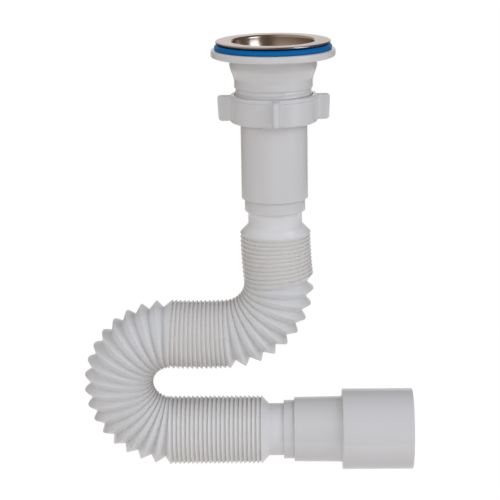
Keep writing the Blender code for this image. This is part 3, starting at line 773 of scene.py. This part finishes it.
def neck_rings(end, length, way):
    """Outer and inner rings of a neck from its open end: the snap bead, then the plain length."""
    steps = [(0.0, 0.0), (BEAD_FROM_END, 0.0), (BEAD_FROM_END + BEAD_HEIGHT, BEAD_HEIGHT)]
    steps.append((BEAD_FROM_END + BEAD_LENGTH - BEAD_HEIGHT, BEAD_HEIGHT))
    steps += [(BEAD_FROM_END + BEAD_LENGTH, 0.0), (length - NECK_FILLET, 0.0)]
    steps += [(length - NECK_FILLET / 4, NECK_FLARE_START), (length, NECK_FLARE)]
    outer = [(hose_ring(end, way * along, 0.0, NECK_RADIUS + bead), 0.0) for along, bead in steps]
    bore = NECK_RADIUS - NECK_WALL
    inner = [(hose_ring(end, way * along, 0.0, bore), 1.0) for along in (0.0, length)]
    return outer, inner


def bellows(name, outer, inner):
    """A closed skin: outer rings one way and inner rings back, with the shut grooves marked."""
    rings = outer + inner[::-1]
    faces = []
    for row in range(len(rings)):
        here, there = row * HOSE_SIDES, (row + 1) % len(rings) * HOSE_SIDES
        for side in range(HOSE_SIDES):
            beside = (side + 1) % HOSE_SIDES
            faces.append((here + beside, there + beside, there + side, here + side))
    points = np.concatenate([ring for ring, depth in rings])
    made = mesh_piece(name, points, faces, BELLOWS_SHARP_EDGE)
    # The shut_groove value marks where the hose's finish paints light into the shut grooves
    attribute = made.data.attributes.new("shut_groove", "FLOAT", "POINT")
    depths = np.concatenate([depth + np.zeros(HOSE_SIDES) for ring, depth in rings])
    attribute.data.foreach_set("value", depths.astype(np.float32))
    return made


def add_folds(rings, place, folds, length, turn):
    """Add a run of folds to the outer and inner rings, and give the place where it ends."""
    pitch = length / folds
    curvature = math.radians(turn) / length
    for fold in range(folds):
        outer, inner = fold_rings(place, pitch, curvature)
        rings[0].extend(outer)
        rings[1].extend(inner)
        place = advance(place, pitch, curvature)
    return place


def end_crest(rings, place):
    """Close a run of folds with a last crest."""
    rings[0].append((hose_ring(place, 0.0, 0.0, FOLD_RADIUS), 0.0))
    rings[1].append((hose_ring(place, 0.0, 0.0, FOLD_RADIUS - FOLD_WALL), 1.0))


neck_in_socket = SOCKET_DEPTH - PLAY
inlet_neck = neck_in_socket + INLET_NECK_SHOWING
outlet_neck = neck_in_socket + OUTLET_NECK_SHOWING
inlet_end = (0.0, tail_low.z + neck_in_socket, math.radians(-90))
first_fold = advance(inlet_end, inlet_neck + INLET_CONE, 0.0)
upper_rings = neck_rings(inlet_end, inlet_neck, 1.0)
place = add_folds(upper_rings, first_fold, UPPER_FOLDS, UPPER_FOLDS * UPPER_PITCH, UPPER_LEAN)
place = add_folds(upper_rings, place, ELBOW_FOLDS, ELBOW_RADIUS * math.radians(ELBOW_TURN), -ELBOW_TURN)
place = add_folds(upper_rings, place, MIDDLE_FOLDS, MIDDLE_FOLDS * MIDDLE_PITCH, -MIDDLE_TURN)
seam = add_folds(upper_rings, place, SEAL_FOLDS, SEAL_RADIUS * math.radians(seal_turn), seal_turn)
end_crest(upper_rings, seam)
lower_rings = ([], [])
last_fold = add_folds(lower_rings, seam, LOWER_FOLDS, LOWER_FOLDS * LOWER_PITCH, 0.0)
end_crest(lower_rings, last_fold)
outlet_end = advance(last_fold, OUTLET_CONE + outlet_neck, 0.0)
for rings, neck in zip(lower_rings, neck_rings(outlet_end, outlet_neck, -1.0)):
    rings.extend(neck[::-1])
outlet_z = outlet_end[1]


def blown_polypropylene():
    """Thin blown polypropylene: satin and milky. The grooves of shut folds are painted a little
    warmer than the rest: painted light, which stands in for the light that passes through the wall into
    them."""
    finish, tree, shader = new_finish("blown_polypropylene")
    place = add_node(tree, "ShaderNodeTexCoord")
    flow = add_node(tree, "ShaderNodeTexNoise", {"Scale": 1 / BLOWN_CLOUD, "Detail": 4.0},
                    {"Vector": place.outputs["Object"]})
    skin = add_node(tree, "ShaderNodeMix",
                    {"data_type": "RGBA", MIX_A: colour("#D7D8DA"), MIX_B: colour("#D2D3D5")},
                    {"Factor": flow.outputs["Fac"]})
    depth = add_node(tree, "ShaderNodeAttribute", {"attribute_name": "shut_groove"})
    # Painted light: the deeper a point lies in a shut groove, the more of the warm groove colour it gets
    groove_light_paint = add_node(tree, "ShaderNodeMapRange", {"From Min": 0.15, "From Max": 0.6, "To Max": 0.9},
                      {"Value": depth.outputs["Fac"]})
    tint = add_node(tree, "ShaderNodeMix", {"data_type": "RGBA", MIX_B: colour("#D8D5D1")},
                    {"Factor": groove_light_paint.outputs["Result"], MIX_A: skin.outputs[MIX_RESULT]})
    tree.links.new(tint.outputs[MIX_RESULT], shader.inputs["Base Color"])
    shader.inputs["Roughness"].default_value = 0.32
    shader.inputs["IOR"].default_value = 1.49
    return finish


hose_skin = blown_polypropylene()
upper_hose = bellows("bellows_hose_upper", *upper_rings)
upper_hose.data.materials.append(hose_skin)
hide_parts("corrugated_hose")
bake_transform(upper_hose)
lower_hose = bellows("bellows_hose_lower", *lower_rings)
lower_hose.data.materials.append(hose_skin)
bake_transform(lower_hose)

# Outlet adapter: a stepped spigot in white polypropylene. The ring holds the hose, and the two
# larger sizes fit 40 mm and 50 mm waste pipes.
ADAPTER_RING_LENGTH = 6.5 * MM
ADAPTER_MIDDLE_RADIUS = 20.0 * MM
ADAPTER_MIDDLE_DRAFT = 0.35 * MM
ADAPTER_MIDDLE_LENGTH = 28.7 * MM
ADAPTER_SHOULDER = 1.0 * MM
ADAPTER_END_RADIUS = 25.0 * MM
ADAPTER_WALL = 2.0 * MM
ADAPTER_EDGE = 0.5 * MM
ADAPTER_STEP = 0.2 * MM
adapter_low, adapter_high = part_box("outlet_adapter")
adapter_mouth, adapter_tip = adapter_low.x, adapter_high.x
ring_end = adapter_mouth + ADAPTER_RING_LENGTH
middle_end = ring_end + ADAPTER_MIDDLE_LENGTH
end_start = middle_end + ADAPTER_SHOULDER
middle_radius = ADAPTER_MIDDLE_RADIUS + ADAPTER_MIDDLE_DRAFT
end_bore = ADAPTER_END_RADIUS - ADAPTER_WALL
middle_bore = ADAPTER_MIDDLE_RADIUS - ADAPTER_WALL
adapter_profile = [(end_bore, adapter_tip)]
adapter_profile += arc((ADAPTER_END_RADIUS - ADAPTER_EDGE, adapter_tip - ADAPTER_EDGE),
                       ADAPTER_EDGE, 90, 0, 5)
adapter_profile += arc((ADAPTER_END_RADIUS - ADAPTER_SHOULDER, end_start + ADAPTER_SHOULDER),
                       ADAPTER_SHOULDER, 0, -90, 6)
adapter_profile += [(middle_radius + PIPE_EDGE, end_start - ADAPTER_STEP), (middle_radius, middle_end)]
adapter_profile += arc((ADAPTER_MIDDLE_RADIUS - PIPE_EDGE, ring_end + PIPE_EDGE), PIPE_EDGE, 0, -90, 5)
adapter_profile += [(RING_RADIUS, ring_end)]
adapter_profile += arc((RING_RADIUS - RING_EDGE, adapter_mouth + RING_EDGE), RING_EDGE, 0, -90, 4)
adapter_profile += socket_outline(adapter_mouth)
adapter_profile.append((middle_bore, adapter_profile[-1][1] + middle_bore - SOCKET_STOP_RADIUS))
adapter_profile += [(middle_bore, end_start - ADAPTER_WALL), (end_bore, end_start + ADAPTER_WALL)]
adapter = turned_piece("outlet_adapter_moulding", adapter_profile, 144)
adapter.rotation_euler = (0.0, math.radians(90), 0.0)
adapter.location = (0.0, 0.0, outlet_z)
dress(adapter, white_moulding, "outlet", "white_plastic", "outlet_adapter")

# Camera: a little above the trap and turned a little to the left, as the photograph was taken.
# A long lens from about a metre away keeps the upright lines nearly parallel.
CAMERA_TARGET = (-15.53 * MM, 0.0, -125.46 * MM)
CAMERA_DISTANCE = 1030 * MM
CAMERA_PITCH = 14.56
CAMERA_YAW = -1.68
CAMERA_ROLL = -0.95
CAMERA_LENS = 122.1
CAMERA_SENSOR = 36.0
CAMERA_FAR_END = 20.0
pitch_down, yaw = math.radians(CAMERA_PITCH), math.radians(CAMERA_YAW)
ahead = Vector((math.sin(yaw) * math.cos(pitch_down), math.cos(yaw) * math.cos(pitch_down),
                -math.sin(pitch_down)))
camera_data = bpy.data.cameras.new("camera")
camera_data.lens = CAMERA_LENS
camera_data.sensor_width = CAMERA_SENSOR
camera_data.clip_end = CAMERA_FAR_END
camera = bpy.data.objects.new("camera", camera_data)
camera.location = Vector(CAMERA_TARGET) - ahead * CAMERA_DISTANCE
camera.rotation_mode = "QUATERNION"
camera.rotation_quaternion = ahead.to_track_quat("-Z", "Y")
camera.rotation_quaternion.rotate(Quaternion(ahead, -math.radians(CAMERA_ROLL)))
bpy.context.scene.collection.objects.link(camera)
bpy.context.scene.camera = camera

# Studio: a matt white board under and behind the trap, four soft boxes and a pale room, a little
# warm below and darker behind. Reflections show a brown room in front, which is paler at its upper
# left, and the white board behind. The left and front boxes stay out of reflections.
FLOOR_DROP = 0.35
FLOOR_FRONT = -0.7
FLOOR_BACK = 1.6
FLOOR_SIDE = 1.2
FLOOR_WHITE = 1.04
FLOOR_WHITE_SHARE = 0.95
ROOM_LIGHT = 0.74
# Each fade runs from 0 to 1 between two values along one axis of a ray's direction
ROOM_FADES = {
    "upward": ("Z", -0.5, 0.6),
    "to_the_rear": ("Y", -0.1, 0.7),
    "board_behind": ("Y", 0.86, 0.96),
    "board_below": ("Z", 0.55, 0.4),
    "to_the_left": ("X", 0.15, -0.25),
    "wall_above": ("Z", 0.1, 0.4),
}
floor_mesh = bpy.data.meshes.new("floor")
floor_corners = [(-FLOOR_SIDE, FLOOR_FRONT, 0), (FLOOR_SIDE, FLOOR_FRONT, 0)]
floor_corners += [(FLOOR_SIDE, FLOOR_BACK, 0), (-FLOOR_SIDE, FLOOR_BACK, 0)]
floor_mesh.from_pydata(floor_corners, [], [(0, 1, 2, 3)])
floor = bpy.data.objects.new("floor", floor_mesh)
floor.location.z = cad_low.z - FLOOR_DROP
bpy.context.scene.collection.objects.link(floor)


def seen_directly(tree):
    """1 for rays from the camera, from a reflection or through glass, and 0 for light on the trap."""
    path = add_node(tree, "ShaderNodeLightPath")
    bare = add_node(tree, "ShaderNodeMath", {"operation": "ADD", "use_clamp": True},
                    {0: path.outputs["Is Camera Ray"], 1: path.outputs["Is Glossy Ray"]})
    every = add_node(tree, "ShaderNodeMath", {"operation": "ADD", "use_clamp": True},
                     {0: bare.outputs["Value"], 1: path.outputs["Is Transmission Ray"]})
    return every.outputs["Value"]


def matt_white_board():
    """Matt painted board: white to the eye, with a faint shadow and a warm light off it."""
    finish, tree, shader = new_finish("matt_white_board")
    shader.inputs["Base Color"].default_value = colour("#EDE6DE")
    shader.inputs["Roughness"].default_value = 0.9
    white = add_node(tree, "ShaderNodeEmission",
                     {"Color": colour("#FFFFFF"), "Strength": FLOOR_WHITE})
    share = add_node(tree, "ShaderNodeMath", {"operation": "MULTIPLY", 1: FLOOR_WHITE_SHARE},
                     {0: seen_directly(tree)})
    mix = add_node(tree, "ShaderNodeMixShader", {},
                   {"Fac": share.outputs["Value"], 1: shader.outputs["BSDF"], 2: white.outputs["Emission"]})
    tree.links.new(mix.outputs["Shader"], tree.nodes["Material Output"].inputs["Surface"])
    return finish


floor.data.materials.append(matt_white_board())


def soft_box(name, location, size, power, tint, reflected=True):
    """A large area lamp that faces the trap, with its power in watts."""
    lamp = bpy.data.lights.new(name, "AREA")
    lamp.shape = "RECTANGLE"
    lamp.size, lamp.size_y = size
    lamp.energy = power
    lamp.color = colour(tint)[:3]
    made = bpy.data.objects.new(name, lamp)
    made.location = location
    aim = Vector(CAMERA_TARGET) - made.location
    made.rotation_euler = aim.to_track_quat("-Z", "Y").to_euler()
    made.visible_glossy = reflected
    bpy.context.scene.collection.objects.link(made)


soft_box("key_box", (1.4, -0.85, 0.85), size=(0.9, 0.9), power=9.0, tint="#F8FAFF")
soft_box("left_box", (-1.4, -0.8, 0.5), size=(1.0, 1.0), power=5.0, tint="#FFFAF5", reflected=False)
soft_box("right_box", (1.5, -0.95, -0.2), size=(0.8, 0.7), power=1.6, tint="#EEF3FF")
soft_box("fill_box", (0.1, -1.7, -0.35), size=(1.6, 0.9), power=6.0, tint="#F4F7FF", reflected=False)

world = bpy.data.worlds.new("studio_room")
bpy.context.scene.world = world
world.use_nodes = True
sky = world.node_tree
direction = add_node(sky, "ShaderNodeTexCoord")
parts = add_node(sky, "ShaderNodeSeparateXYZ", {}, {"Vector": direction.outputs["Generated"]})
fades = {}
for name, (axis, start, end) in ROOM_FADES.items():
    fade = add_node(sky, "ShaderNodeMapRange", {"From Min": start, "From Max": end},
                    {"Value": parts.outputs[axis]})
    fades[name] = fade.outputs["Result"]
light = add_node(sky, "ShaderNodeMix",
                 {"data_type": "RGBA", MIX_A: colour("#E6DCD0"), MIX_B: colour("#ECEFF4")},
                 {"Factor": fades["upward"]})
dimmed = add_node(sky, "ShaderNodeMix", {"data_type": "RGBA", MIX_B: colour("#9C8C7E")},
                  {"Factor": fades["to_the_rear"], MIX_A: light.outputs[MIX_RESULT]})
room = sky.nodes["Background"]
room.inputs["Strength"].default_value = ROOM_LIGHT
sky.links.new(dimmed.outputs[MIX_RESULT], room.inputs["Color"])
board = add_node(sky, "ShaderNodeMath", {"operation": "MULTIPLY"},
                 {0: fades["board_behind"], 1: fades["board_below"]})
wall = add_node(sky, "ShaderNodeMath", {"operation": "MULTIPLY"},
                {0: fades["to_the_left"], 1: fades["wall_above"]})
walls = add_node(sky, "ShaderNodeMix",
                 {"data_type": "RGBA", MIX_A: colour("#6F5A48"), MIX_B: colour("#C9BAA6")},
                 {"Factor": wall.outputs["Value"]})
mirrored = add_node(sky, "ShaderNodeMix", {"data_type": "RGBA", MIX_B: colour("#FFFFFF")},
                    {"Factor": board.outputs["Value"], MIX_A: walls.outputs[MIX_RESULT]})
path = add_node(sky, "ShaderNodeLightPath")
seen_colour = add_node(sky, "ShaderNodeMix", {"data_type": "RGBA", MIX_A: colour("#FFFFFF")},
                       {"Factor": path.outputs["Is Glossy Ray"], MIX_B: mirrored.outputs[MIX_RESULT]})
seen = add_node(sky, "ShaderNodeBackground", {"Strength": 1.0},
                {"Color": seen_colour.outputs[MIX_RESULT]})
choose = add_node(sky, "ShaderNodeMixShader", {},
                  {"Fac": seen_directly(sky), 1: room.outputs["Background"], 2: seen.outputs["Background"]})
sky.links.new(choose.outputs["Shader"], sky.nodes["World Output"].inputs["Surface"])

bpy.context.scene.view_settings.view_transform = "Standard"
